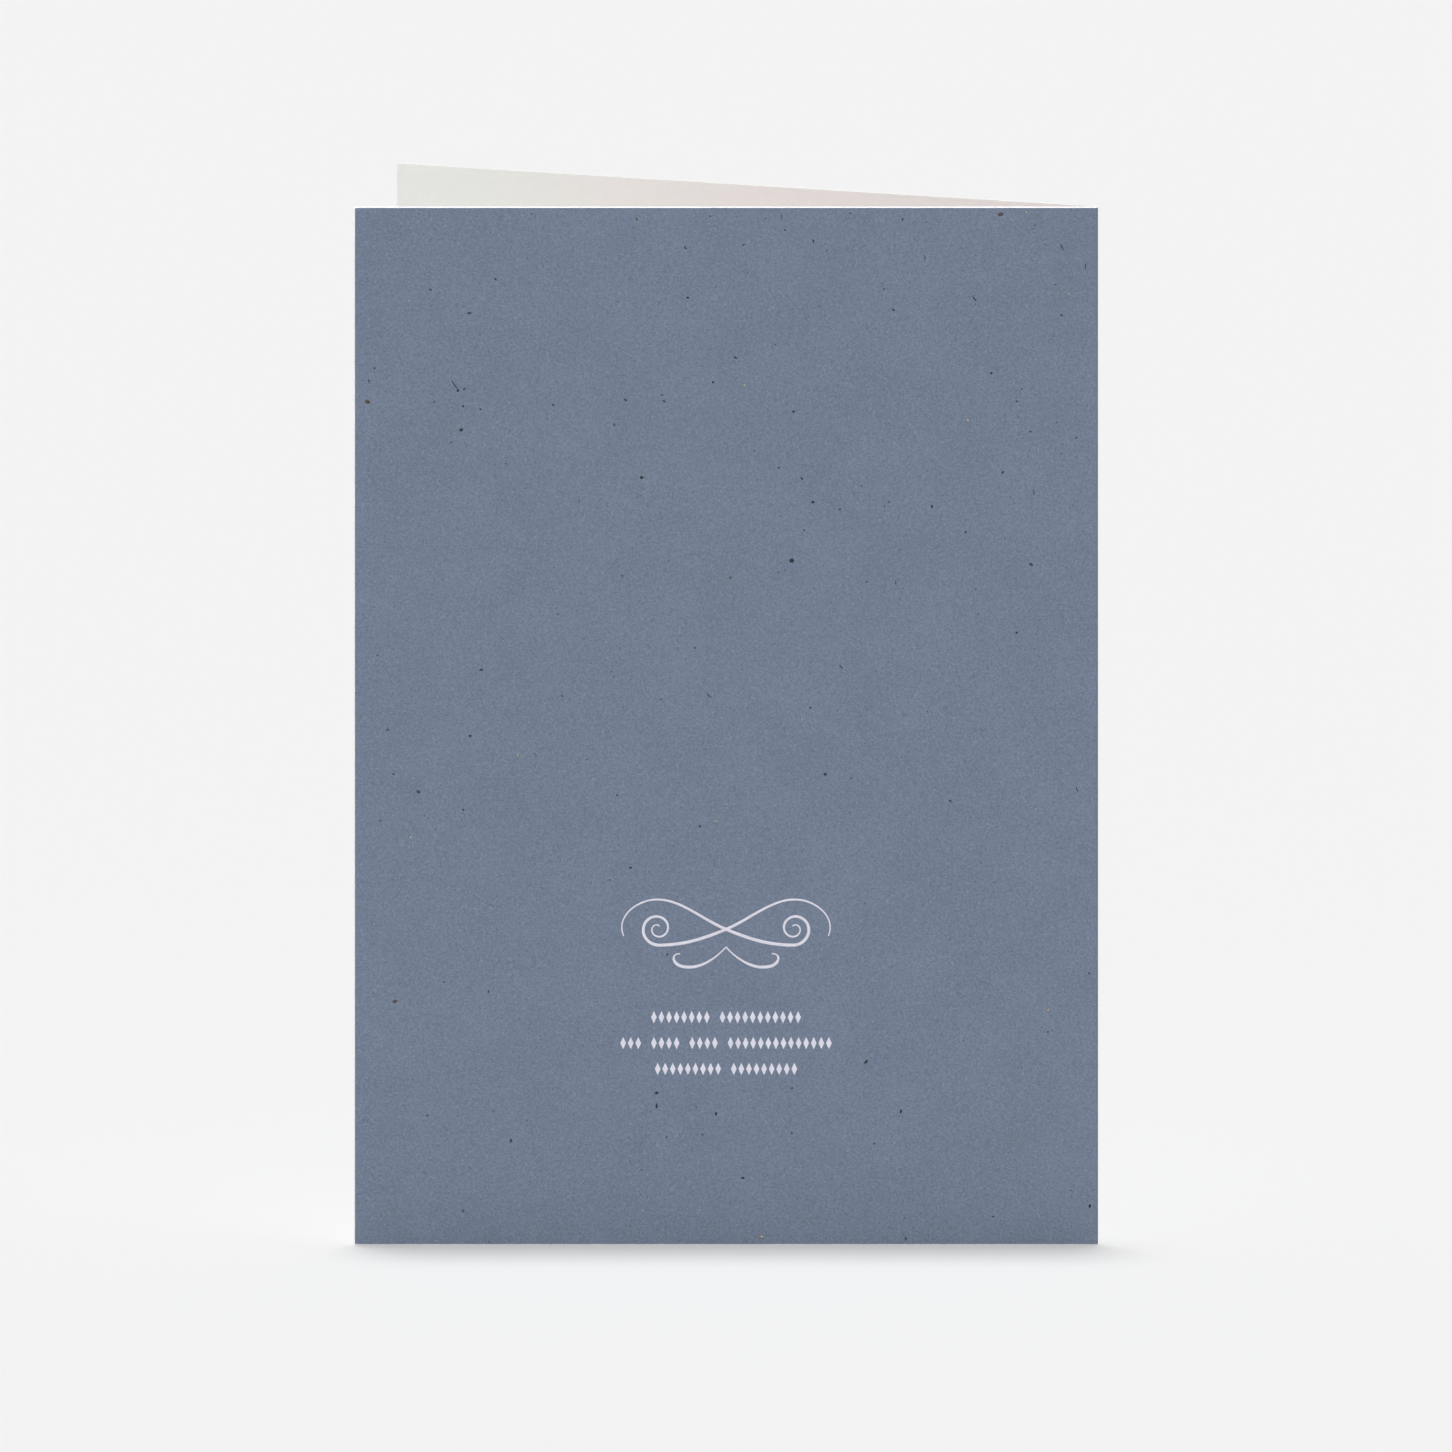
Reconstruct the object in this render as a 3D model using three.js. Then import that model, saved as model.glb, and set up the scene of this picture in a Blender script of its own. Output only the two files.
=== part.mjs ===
// A single-fold invitation card: one sheet of card, creased down the middle and stood upright on
// its lower edges with its leaves a little apart. Millimetres, +Z up. The address leaf's outer
// face looks along -Y, the fold is at +X, and the cover leaf swings back from the fold toward +Y.
// The origin is the middle of the standing card's footprint box, on the surface it stands on.

import * as THREE from 'three';

// Driving sizes of the sheet
const LEAF_WIDTH = 120; // from the outside of the fold to a leaf's free edge
const LEAF_HEIGHT = 170; // along the fold
const CARD_THICKNESS = 0.4; // an uncoated card of about 300 g/m2
const FOLD_INSIDE_RADIUS = 0.15; // the crease, on its inner side
const OPENING_DEGREES = 19.6; // between the two leaves as the card stands

// How finely a full round arc of the fold is cut
const FOLD_ARC_SEGMENTS = 24;

// Finish of the printed card: a muted slate blue, dull as uncoated paper is
const CARD_COLOUR = 0x737e91;
const CARD_ROUGHNESS = 0.85;
const CARD_METALNESS = 0;

// Sizes that follow from the driving ones
const FOLD_OUTSIDE_RADIUS = FOLD_INSIDE_RADIUS + CARD_THICKNESS;
const FLAT_LENGTH = LEAF_WIDTH - FOLD_OUTSIDE_RADIUS;
const OPENING = THREE.MathUtils.degToRad(OPENING_DEGREES);

// The address leaf leaves the fold along -X, so its outer face is square to this direction.
const ADDRESS_SIDE = -Math.PI / 2;

// The fold turns through what the opening leaves of a half turn.
const COVER_SIDE = ADDRESS_SIDE + Math.PI - OPENING;

// The point of the cover leaf at a distance from the fold's axis, at the leaf's root or free edge.
function coverLeafPoint(radius, along) {
  const outward = new THREE.Vector2(Math.cos(COVER_SIDE), Math.sin(COVER_SIDE));
  const towardFreeEdge = new THREE.Vector2(-Math.cos(OPENING), Math.sin(OPENING));
  return outward.multiplyScalar(radius).addScaledVector(towardFreeEdge, along);
}

// The sheet seen from above, about the fold's axis: out along the outer faces, back along the
// inner ones, with the crease as two arcs round the same axis.
function sheetSection() {
  const coverOuterCorner = coverLeafPoint(FOLD_OUTSIDE_RADIUS, FLAT_LENGTH);
  const coverInnerCorner = coverLeafPoint(FOLD_INSIDE_RADIUS, FLAT_LENGTH);

  const section = new THREE.Shape();
  section.moveTo(-FLAT_LENGTH, -FOLD_OUTSIDE_RADIUS);
  section.absarc(0, 0, FOLD_OUTSIDE_RADIUS, ADDRESS_SIDE, COVER_SIDE, false);
  section.lineTo(coverOuterCorner.x, coverOuterCorner.y);
  section.lineTo(coverInnerCorner.x, coverInnerCorner.y);
  section.absarc(0, 0, FOLD_INSIDE_RADIUS, COVER_SIDE, ADDRESS_SIDE, true);
  section.lineTo(-FLAT_LENGTH, -FOLD_INSIDE_RADIUS);
  section.closePath();
  return section;
}

// The section carried up the whole height of the leaves, centred over its footprint box.
function foldedCard() {
  const geometry = new THREE.ExtrudeGeometry(sheetSection(), {
    depth: LEAF_HEIGHT,
    steps: 1,
    curveSegments: FOLD_ARC_SEGMENTS / 2,
    bevelEnabled: false,
  });
  geometry.computeBoundingBox();
  const middle = geometry.boundingBox.getCenter(new THREE.Vector3());
  geometry.translate(-middle.x, -middle.y, 0);

  const card = new THREE.Mesh(
    geometry,
    new THREE.MeshStandardMaterial({
      color: CARD_COLOUR,
      roughness: CARD_ROUGHNESS,
      metalness: CARD_METALNESS,
    }),
  );
  card.name = 'folded_card';
  return card;
}

const invitation = new THREE.Group();
invitation.add(foldedCard());

export default invitation;
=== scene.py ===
"""A single-fold invitation card, printed flat, creased and stood upright for the camera.

The card is made as a stationer makes it. The blank lies flat with its outer side up, the print
goes on it, and then blank and print are folded together at the crease. Blank coordinates are x
across the crease, with the address leaf on the negative side, y up the card, and z out of the
paper, from 0 on the inner face to the sheet's thickness on the outer one. All lengths are metres.
"""

from __future__ import annotations

import logging
import math
from dataclasses import dataclass, replace
from enum import Enum
from typing import Callable, Union

import bpy
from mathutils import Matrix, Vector

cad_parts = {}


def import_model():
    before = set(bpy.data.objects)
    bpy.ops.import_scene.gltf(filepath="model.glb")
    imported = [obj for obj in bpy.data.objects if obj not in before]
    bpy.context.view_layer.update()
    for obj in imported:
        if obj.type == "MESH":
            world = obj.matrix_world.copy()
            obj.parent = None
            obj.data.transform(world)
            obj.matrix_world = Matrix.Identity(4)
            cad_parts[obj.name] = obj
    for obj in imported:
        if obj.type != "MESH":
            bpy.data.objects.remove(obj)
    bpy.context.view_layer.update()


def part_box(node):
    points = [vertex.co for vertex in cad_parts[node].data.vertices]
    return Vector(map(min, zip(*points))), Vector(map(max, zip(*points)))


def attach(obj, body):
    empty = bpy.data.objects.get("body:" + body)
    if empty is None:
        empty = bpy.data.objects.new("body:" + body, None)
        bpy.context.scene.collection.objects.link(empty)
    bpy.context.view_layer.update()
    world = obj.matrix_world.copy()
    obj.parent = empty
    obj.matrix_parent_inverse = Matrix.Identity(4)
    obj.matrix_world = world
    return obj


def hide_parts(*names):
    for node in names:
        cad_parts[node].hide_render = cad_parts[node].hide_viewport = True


LOG = logging.getLogger("invitation")

MM = 0.001
CARD_NODE = "folded_card"
CARD_BODY = "root"

# The middle of a noise's swing, and the low gloss of uncoated paper and of ink on it.
NOISE_MIDDLE = 0.5
PAPER_GLOSS = 0.25

Socket = bpy.types.NodeSocket
Point = tuple[float, float]
Place = tuple[float, float, float]
Colour = tuple[float, float, float, float]
Curve = tuple[Point, Point, Point, Point]
Value = Union[bpy.types.Node, Socket, float, str, tuple]


def linear(red: int, green: int, blue: int) -> Colour:
    """Turns a screen colour into the linear one that a shader takes.

    Args:
        red: Red from 0 to 255, as a screen shows it.
        green: Green, likewise.
        blue: Blue, likewise.

    Returns:
        Linear red, green and blue from 0 to 1, and an alpha of 1.
    """

    def channel(level: int) -> float:
        """Undoes the screen's gamma on one channel."""
        share = level / 255
        return share / 12.92 if share <= 0.04045 else ((share + 0.055) / 1.055) ** 2.4

    return (channel(red), channel(green), channel(blue), 1.0)


class Side(Enum):
    """The faces of the sheet that take a finish of their own."""

    OUTER = 0
    INNER = 1
    ADDRESS_CUT = 2
    COVER_CUT = 3


class Bench:
    """Adds nodes to one tree and joins them, so that a tree reads as a list of steps."""

    def __init__(self, tree: bpy.types.NodeTree) -> None:
        """Takes the tree that the nodes go in."""
        self.tree = tree

    @classmethod
    def clear(cls, owner: bpy.types.Material | bpy.types.World) -> Bench:
        """Empties the tree of a material or a world, and takes it."""
        owner.use_nodes = True
        owner.node_tree.nodes.clear()
        return cls(owner.node_tree)

    def node(
        self,
        kind: str,
        inputs: dict[str | int, Value] | None = None,
        **settings: str | bpy.types.NodeTree,
    ) -> bpy.types.Node:
        """Adds a node, sets its own properties and then feeds its inputs.

        Args:
            kind: The node's type, by its Blender name.
            inputs: What its inputs are fed, by their names or numbers.
            **settings: Properties of the node and their values.

        Returns:
            The new node.
        """
        made = self.tree.nodes.new(kind)
        for name, value in settings.items():
            setattr(made, name, value)
        for name, value in (inputs or {}).items():
            self.feed(made.inputs[name], value)
        return made

    def feed(self, into: Socket, value: Value) -> None:
        """Joins a socket or a node's first output to an input, or sets a plain value on it."""
        if isinstance(value, bpy.types.Node):
            value = value.outputs[0]
        if isinstance(value, bpy.types.NodeSocket):
            self.tree.links.new(value, into)
        else:
            into.default_value = value

    def math(self, operation: str, *terms: Value) -> Socket:
        """Works out one sum.

        Args:
            operation: The Math node's operation.
            *terms: Its one to three terms, sockets or numbers.

        Returns:
            The result's socket.
        """
        return self.node("ShaderNodeMath", dict(enumerate(terms)), operation=operation).outputs[0]

    def spread(self, value: Value, old: Point, new: Point = (0.0, 1.0)) -> Socket:
        """Stretches a value from one range to another, and holds it inside that.

        Args:
            value: What to stretch.
            old: Where the old range starts and ends.
            new: Where the new range starts and ends.

        Returns:
            The stretched value's socket.
        """
        terms = (value, *old, *new)
        return self.node("ShaderNodeMapRange", dict(enumerate(terms))).outputs[0]

    def blend(self, factor: Value, first: Value, second: Value) -> Socket:
        """Mixes two colours.

        Args:
            factor: How much of the second colour, from 0 to 1.
            first: The first colour or its socket.
            second: The second colour or its socket.

        Returns:
            The mixed colour's socket.
        """
        made = self.node("ShaderNodeMix", {"Factor": factor}, data_type="RGBA")
        for name, colour in (("A", first), ("B", second)):
            self.feed(next(s for s in made.inputs if s.name == name and s.type == "RGBA"), colour)
        return next(s for s in made.outputs if s.type == "RGBA")

    def vector(self, x: Value, y: Value, z: Value) -> Socket:
        """Puts a vector together from its three parts."""
        return self.node("ShaderNodeCombineXYZ", {0: x, 1: y, 2: z}).outputs[0]

    def parts(self, vector: Value) -> bpy.types.NodeOutputs:
        """Takes a vector apart into its three parts."""
        return self.node("ShaderNodeSeparateXYZ", {0: vector}).outputs

    def stored(self, name: str, kind: str = "FLOAT") -> Socket:
        """Reads a number that the mesh holds for each point or face under a name."""
        made = self.node("GeometryNodeInputNamedAttribute", {"Name": name}, data_type=kind)
        return made.outputs[0]

    def copies(self, **inputs: Value) -> Socket:
        """Sets a copy of a shape on each point, and makes the copies' faces real.

        Args:
            **inputs: The Points, the Instance to copy, and the copies' Scale and Rotation.

        Returns:
            The geometry of all the copies.
        """
        made = self.node("GeometryNodeInstanceOnPoints", inputs)
        return self.node("GeometryNodeRealizeInstances", {0: made}).outputs[0]


def node_group(
    name: str, kind: str, takes: dict[str, str | float], gives: dict[str, str]
) -> bpy.types.NodeTree:
    """Makes a node group with named inputs and outputs, and no nodes yet.

    Args:
        name: The group's name.
        kind: Geometry or Shader.
        takes: Each input's kind by its name, or the number that a Float starts from.
        gives: Each output's kind by its name.

    Returns:
        The group.
    """
    made = bpy.data.node_groups.new(name, f"{kind}NodeTree")
    for going, sockets in (("INPUT", takes), ("OUTPUT", gives)):
        for label, what in sockets.items():
            starts = not isinstance(what, str)
            socket_type = f"NodeSocket{'Float' if starts else what}"
            socket = made.interface.new_socket(label, in_out=going, socket_type=socket_type)
            if starts:
                socket.default_value = what
    return made


@dataclass(frozen=True)
class Blank:
    """The flat sheet, and where its crease and leaves come to lie once it is folded."""

    thickness: float
    crease_radius: float
    leaf_width: float
    height: float
    footprint_low: Point
    footprint_depth: float

    @staticmethod
    def from_frame(low: Vector, high: Vector) -> Blank:
        """Reads the sheet's sizes from the box that the solid card fills.

        Args:
            low: The box's lowest corner.
            high: The box's highest corner.

        Returns:
            The blank that folds up to fill the box.
        """
        return Blank(
            thickness=0.4 * MM,
            crease_radius=0.15 * MM,
            leaf_width=high.x - low.x,
            height=high.z - low.z,
            footprint_low=(low.x, low.y),
            footprint_depth=high.y - low.y,
        )

    @property
    def fold_radius(self) -> float:
        """The fold's radius on its outer side."""
        return self.crease_radius + self.thickness

    @property
    def straight(self) -> float:
        """The length of a leaf that stays flat, from the fold to its free edge."""
        return self.leaf_width - self.fold_radius

    @property
    def opening(self) -> float:
        """The angle between the leaves at which the folded card fills its footprint."""
        reach = math.hypot(self.straight, self.fold_radius)
        lean = math.atan2(self.straight, self.fold_radius)
        return lean - math.acos((self.footprint_depth - self.fold_radius) / reach)

    @property
    def half_turn(self) -> float:
        """The angle that each half of the fold turns through."""
        return (math.pi - self.opening) / 2

    @property
    def half_bend(self) -> float:
        """Half the length of paper that the fold takes up, midway through the sheet."""
        return (self.crease_radius + self.thickness / 2) * self.half_turn

    @property
    def half_width(self) -> float:
        """From the crease to a free edge, along the flat blank."""
        return self.half_bend + self.straight

    @property
    def fold_centre(self) -> Point:
        """The fold's axis in plan, on the folded card."""
        low_x, low_y = self.footprint_low
        return (low_x + self.straight, low_y + self.fold_radius)

    def on_address_leaf(self, from_free_edge: float, above_foot: float) -> Point:
        """A place on the blank's address leaf.

        Args:
            from_free_edge: Distance in from the leaf's free edge.
            above_foot: Distance up from the lower edge.

        Returns:
            The place in blank coordinates.
        """
        return (from_free_edge - self.half_width, above_foot)


class FoldPress:
    """The node tree that folds whatever lies on the blank, at its crease."""

    def __init__(self, blank: Blank) -> None:
        """Builds the tree for one blank.

        Args:
            blank: The sheet whose crease and opening the tree takes.
        """
        centre_x, centre_y = blank.fold_centre
        takes = {
            "Flat": "Geometry",
            "Crease Radius": blank.crease_radius,
            "Half Bend": blank.half_bend,
            "Half Turn": blank.half_turn,
            "Fold X": centre_x,
            "Fold Y": centre_y,
        }
        self.tree = node_group("fold at crease", "Geometry", takes, {"Folded": "Geometry"})
        self._wire()

    def _wire(self) -> None:
        """Sends each point round the fold and out along its leaf."""
        bench = Bench(self.tree)
        given = bench.node("NodeGroupInput").outputs
        across, up, out = bench.parts(bench.node("GeometryNodeInputPosition"))

        past = bench.math("DIVIDE", across, given["Half Bend"])
        share = bench.math("MAXIMUM", bench.math("MINIMUM", past, 1.0), -1.0)
        in_bend = bench.math("MULTIPLY", share, given["Half Bend"])
        along_leaf = bench.math("SUBTRACT", across, in_bend)

        # The address leaf comes off the fold along X, so its outer face is a quarter turn back.
        first_turn = bench.math("SUBTRACT", given["Half Turn"], math.pi / 2)
        turned = bench.math("MULTIPLY_ADD", share, given["Half Turn"], first_turn)
        cosine = bench.math("COSINE", turned)
        sine = bench.math("SINE", turned)
        radius = bench.math("ADD", given["Crease Radius"], out)

        x_round = bench.math("MULTIPLY_ADD", radius, cosine, given["Fold X"])
        y_round = bench.math("MULTIPLY_ADD", radius, sine, given["Fold Y"])
        x = bench.math("SUBTRACT", x_round, bench.math("MULTIPLY", along_leaf, sine))
        y = bench.math("MULTIPLY_ADD", along_leaf, cosine, y_round)
        moves = {"Geometry": given["Flat"], "Position": bench.vector(x, y, up)}
        moved = bench.node("GeometryNodeSetPosition", moves)
        bench.node("NodeGroupOutput", {"Folded": moved})

    def fold(self, bench: Bench, flat: Socket) -> Socket:
        """Folds what another tree has made flat.

        Args:
            bench: The other tree's bench.
            flat: The flat geometry's socket.

        Returns:
            The folded geometry's socket.
        """
        return bench.node("GeometryNodeGroup", {"Flat": flat}, node_tree=self.tree).outputs[0]

    def end_print(self, bench: Bench, flat: Socket, finish: Socket) -> None:
        """Ends a tree that prints: folds what it has made flat, and gives it its finish.

        Args:
            bench: The tree's bench.
            flat: The flat geometry's socket.
            finish: The material's socket.
        """
        coats = {"Geometry": self.fold(bench, flat), "Material": finish}
        bench.node("NodeGroupOutput", {"Print": bench.node("GeometryNodeSetMaterial", coats)})


def in_scene(name: str, data: bpy.types.ID) -> bpy.types.Object:
    """Puts a mesh, a lamp or a camera into the scene under a name."""
    made = bpy.data.objects.new(name, data)
    bpy.context.scene.collection.objects.link(made)
    return made


def mesh_object(
    name: str,
    points: list[Place],
    edges: list[tuple[int, int]] | None = None,
    faces: list[tuple[int, ...]] | None = None,
) -> bpy.types.Object:
    """Makes a mesh object at the origin.

    Args:
        name: The object's name.
        points: Its vertices.
        edges: Pairs of vertices, where it has loose edges.
        faces: Loops of vertices, where it has faces.

    Returns:
        The object, in the scene.
    """
    mesh = bpy.data.meshes.new(name)
    mesh.from_pydata(points, edges or [], faces or [])
    return in_scene(name, mesh)


def give(
    made: bpy.types.Object, name: str, values: list, kind: str = "FLOAT", domain: str = "POINT"
) -> None:
    """Stores one value for each point or face of an object's mesh under a name.

    Args:
        made: The object.
        name: The attribute's name.
        values: One value for each.
        kind: FLOAT or INT.
        domain: POINT or FACE.
    """
    made.data.attributes.new(name, kind, domain).data.foreach_set("value", values)


def run_tree(
    host: bpy.types.Object, tree: bpy.types.NodeTree, values: dict[str, float | bpy.types.Material]
) -> None:
    """Runs a node tree on an object and keeps the result as its plain mesh.

    Args:
        host: The object that holds what the tree starts from.
        tree: The geometry node tree.
        values: What its inputs are set to, by their names.
    """
    modifier = host.modifiers.new(tree.name, "NODES")
    modifier.node_group = tree
    for item in tree.interface.items_tree:
        if item.in_out == "INPUT" and item.name in values:
            modifier[item.identifier] = values[item.name]
    depsgraph = bpy.context.evaluated_depsgraph_get()
    result = bpy.data.meshes.new_from_object(host.evaluated_get(depsgraph), depsgraph=depsgraph)
    host.modifiers.remove(modifier)
    flat_mesh = host.data
    result.name = host.name
    host.data = result
    bpy.data.meshes.remove(flat_mesh)


class PulpTexture:
    """The shader group for paper's own texture: grain, clouds, stains, specks, fibres and tooth."""

    # The part of a noise's swing that is stretched over the whole of the output's.
    GRAIN_SWING = (0.25, 0.75)
    CLOUD_SWING = (0.3, 0.7)

    # Where a speck is full and where it has faded out, as shares of its cell, and the range of
    # the cells' random numbers over which a speck grows from nothing to its full strength.
    SPECK_EDGE = (0.1, 0.2)
    SPECK_STRENGTHS = (0.15, 1.0)

    # How far off the contour a fibre is full and faded out, where the cutting noise lets it
    # show, and how much finer that noise is than the contour's, with what sets its seed apart.
    FIBRE_EDGE = (0.02, 0.05)
    FIBRE_SHOWS = (0.5, 0.6)
    CUT_FINER = 1.8
    CUT_SEED = 20.0

    def __init__(self) -> None:
        """Builds the group."""
        takes = {
            "Grain Size": 0.3 * MM,
            "Cloud Size": 4 * MM,
            "Stain Size": 1.3 * MM,
            "Speck Spacing": 0.9 * MM,
            "Fibre Size": 0.8 * MM,
            "Lie": 1.3,
        }
        gives = ("Grain", "Clouds", "Stains", "Specks", "Light Fibres", "Dark Fibres", "Tooth")
        self.tree = node_group("paper pulp", "Shader", takes, dict.fromkeys(gives, "Float"))
        self._wire()

    def _wire(self) -> None:
        """Makes each output from noise on the card's own coordinates."""
        bench = Bench(self.tree)
        given = bench.node("NodeGroupInput").outputs
        place = bench.node("ShaderNodeTexCoord").outputs["Object"]

        # Fibres lie across the sheet, so the grain is drawn out sideways.
        lie = bench.vector(1.0, 1.0, given["Lie"])
        laid = bench.node("ShaderNodeVectorMath", {0: place, 1: lie}, operation="MULTIPLY")

        grain = self._noise(bench, laid, given["Grain Size"], detail=1.0)
        clouds = self._noise(bench, place, given["Cloud Size"], detail=3.0)
        stains = self._noise(bench, place, given["Stain Size"], detail=1.0)
        result = {
            "Grain": bench.spread(grain, self.GRAIN_SWING),
            "Clouds": bench.spread(clouds, self.CLOUD_SWING),
            "Stains": bench.spread(stains, self.CLOUD_SWING),
            "Specks": self._specks(bench, place, given["Speck Spacing"]),
            "Tooth": self._noise(bench, laid, given["Grain Size"], detail=3.0),
        }
        for name, seed in (("Light Fibres", 3.7), ("Dark Fibres", 8.2)):
            result[name] = self._fibres(bench, place, given["Fibre Size"], seed)
        bench.node("NodeGroupOutput", result)

    @staticmethod
    def _noise(bench: Bench, place: Value, size: Socket, detail: float) -> Socket:
        """Noise of one feature size.

        Args:
            bench: The group's bench.
            place: The coordinates that the noise is read at.
            size: The size of one feature.
            detail: How many finer octaves lie on it.

        Returns:
            The noise's socket.
        """
        reads = {"Vector": place, "Scale": bench.math("DIVIDE", 1.0, size), "Detail": detail}
        return bench.node("ShaderNodeTexNoise", reads).outputs[0]

    def _specks(self, bench: Bench, place: Socket, spacing: Socket) -> Socket:
        """Round specks, about one to each cell, of random strength.

        Args:
            bench: The group's bench.
            place: The coordinates that the cells are laid on.
            spacing: The cells' size.

        Returns:
            The specks' mask, 0 between them.
        """
        reads = {"Vector": place, "Scale": bench.math("DIVIDE", 1.0, spacing)}
        cells = bench.node("ShaderNodeTexVoronoi", reads).outputs
        near = bench.spread(cells["Distance"], self.SPECK_EDGE, (1.0, 0.0))
        chance = bench.node("ShaderNodeSeparateColor", {0: cells["Color"]})
        return bench.math("MULTIPLY", near, bench.spread(chance, self.SPECK_STRENGTHS))

    def _fibres(self, bench: Bench, place: Socket, size: Socket, seed: float) -> Socket:
        """Fine curled fibres: the contour of a noise, cut into short lengths by another.

        Args:
            bench: The group's bench.
            place: The coordinates that the fibres lie on.
            size: How far apart the contour's turns are.
            seed: A number that tells one set of fibres from the next.

        Returns:
            The fibres' mask, 0 between them.
        """
        scale = bench.math("DIVIDE", 1.0, size)
        noises = []
        for finer, further in ((1.0, 0.0), (self.CUT_FINER, self.CUT_SEED)):
            own_scale = bench.math("MULTIPLY", scale, finer)
            reads = {"Vector": place, "Scale": own_scale, "W": seed + further, "Detail": 1.0}
            noises.append(bench.node("ShaderNodeTexNoise", reads, noise_dimensions="4D"))
        contour, cut = noises
        off_line = bench.math("ABSOLUTE", bench.math("SUBTRACT", contour, NOISE_MIDDLE))
        line = bench.spread(off_line, self.FIBRE_EDGE, (1.0, 0.0))
        return bench.math("MULTIPLY", line, bench.spread(cut, self.FIBRE_SHOWS))


@dataclass(frozen=True, kw_only=True)
class Finish:
    """A dull surface, coloured as each kind of finish says."""

    name: str
    roughness: float = 0.9

    def material(self, pulp: PulpTexture) -> bpy.types.Material:
        """Builds the finish.

        Args:
            pulp: The paper texture that the finishes share.

        Returns:
            The finished material.
        """
        made = bpy.data.materials.new(self.name)
        bench = Bench.clear(made)
        dull = {"Roughness": self.roughness, "Specular IOR Level": PAPER_GLOSS}
        shader = bench.node("ShaderNodeBsdfPrincipled", dull | self.paint(bench, pulp))
        bench.node("ShaderNodeOutputMaterial", {"Surface": shader})
        return made

    def paint(self, bench: Bench, pulp: PulpTexture) -> dict[str, Value]:
        """Adds the nodes that colour the surface.

        Args:
            bench: The material's bench.
            pulp: The paper texture.

        Returns:
            What the shader's inputs are fed, by their names.
        """
        raise NotImplementedError


@dataclass(frozen=True, kw_only=True)
class PaperFinish(Finish):
    """A face of the card: its shades, and how its pulp shows in them."""

    dark: Colour
    light: Colour
    speck: Colour
    fibre: Colour
    cloud_strength: float
    speck_strength: float
    fibre_strength: float
    tooth_depth: float
    dark_fibre_share: float = 0.9
    grain_size: float = 0.3 * MM
    cloud_size: float = 8 * MM
    stain_pair: tuple[Colour, Colour] | None = None
    stain_strength: float = 0.25
    # The inside's tint toward the fold, a little darker than the stock, so it also paints shade there.
    pink_and_shade: Colour | None = None
    pink_and_shade_span: Point = (0.0, 0.0)
    pink_and_shade_between_patches: float = 0.6

    def paint(self, bench: Bench, pulp: PulpTexture) -> dict[str, Value]:
        """Colours the paper by its pulp, and raises its tooth.

        Args:
            bench: The material's bench.
            pulp: The paper texture.

        Returns:
            The shader's colour and normal.
        """
        sizes = {"Grain Size": self.grain_size, "Cloud Size": self.cloud_size}
        texture = bench.node("ShaderNodeGroup", sizes, node_tree=pulp.tree)
        grain, clouds, stains, specks, light_fibres, dark_fibres, tooth = texture.outputs
        off_middle = bench.math("SUBTRACT", clouds, NOISE_MIDDLE)
        drift = bench.math("MULTIPLY", off_middle, self.cloud_strength)
        shade = bench.blend(bench.math("ADD", grain, drift), self.dark, self.light)
        if self.stain_pair is not None:
            hue = bench.blend(stains, *self.stain_pair)
            shade = bench.blend(self.stain_strength, shade, hue)
        # Toward the fold the inside turns pinker and a little darker: part tint, part painted shade.
        if self.pink_and_shade is not None:
            shade = bench.blend(self._pink_and_shade(bench, clouds), shade, self.pink_and_shade)
        marks = (
            (light_fibres, self.fibre_strength, self.fibre),
            (dark_fibres, self.fibre_strength * self.dark_fibre_share, self.speck),
            (specks, self.speck_strength, self.speck),
        )
        for mask, strength, colour in marks:
            shade = bench.blend(bench.math("MULTIPLY", mask, strength), shade, colour)
        relief = bench.node("ShaderNodeBump", {"Distance": self.tooth_depth, "Height": tooth})
        return {"Base Color": shade, "Normal": relief}

    def _pink_and_shade(self, bench: Bench, clouds: Socket) -> Socket:
        """A faint pink tint and painted shade that come in toward the fold, in soft patches.

        Args:
            bench: The material's bench.
            clouds: The pulp's clouds, which break the tint and the painted shade up.

        Returns:
            How much of the pink tint and painted shade shows.
        """
        across = bench.parts(bench.node("ShaderNodeTexCoord").outputs["Object"])[0]
        toward_fold = bench.spread(across, self.pink_and_shade_span)
        patchy = bench.spread(clouds, (0.0, 1.0), (self.pink_and_shade_between_patches, 1.0))
        return bench.math("MULTIPLY", toward_fold, patchy)


@dataclass(frozen=True, kw_only=True)
class InkFinish(Finish):
    """An ink that lies on the card: two shades of it that drift into each other."""

    first: Colour
    second: Colour
    drift_size: float = 2.5 * MM

    def paint(self, bench: Bench, pulp: PulpTexture) -> dict[str, Value]:
        """Colours the ink by the clouds in the paper's pulp.

        Args:
            bench: The material's bench.
            pulp: The paper texture.

        Returns:
            The shader's colour.
        """
        sizes = {"Cloud Size": self.drift_size}
        texture = bench.node("ShaderNodeGroup", sizes, node_tree=pulp.tree)
        return {"Base Color": bench.blend(texture.outputs["Clouds"], self.first, self.second)}


SLATE_PRINT = PaperFinish(
    name="slate print",
    dark=linear(102, 114, 132),
    light=linear(123, 135, 155),
    speck=linear(84, 94, 110),
    fibre=linear(141, 151, 170),
    cloud_strength=0.22,
    speck_strength=0.6,
    fibre_strength=0.34,
    tooth_depth=0.02 * MM,
    stain_pair=(linear(111, 125, 136), linear(119, 126, 154)),
)
INSIDE_STOCK = PaperFinish(
    name="inside stock",
    dark=linear(229, 230, 225),
    light=linear(233, 234, 230),
    speck=linear(217, 217, 212),
    fibre=linear(252, 252, 250),
    cloud_strength=0.4,
    speck_strength=0.08,
    fibre_strength=0.1,
    tooth_depth=0.008 * MM,
    cloud_size=14 * MM,
    # Pink and a little darker than the stock: a tint, and painted shade toward the fold.
    pink_and_shade=linear(236, 227, 226),
)
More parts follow.
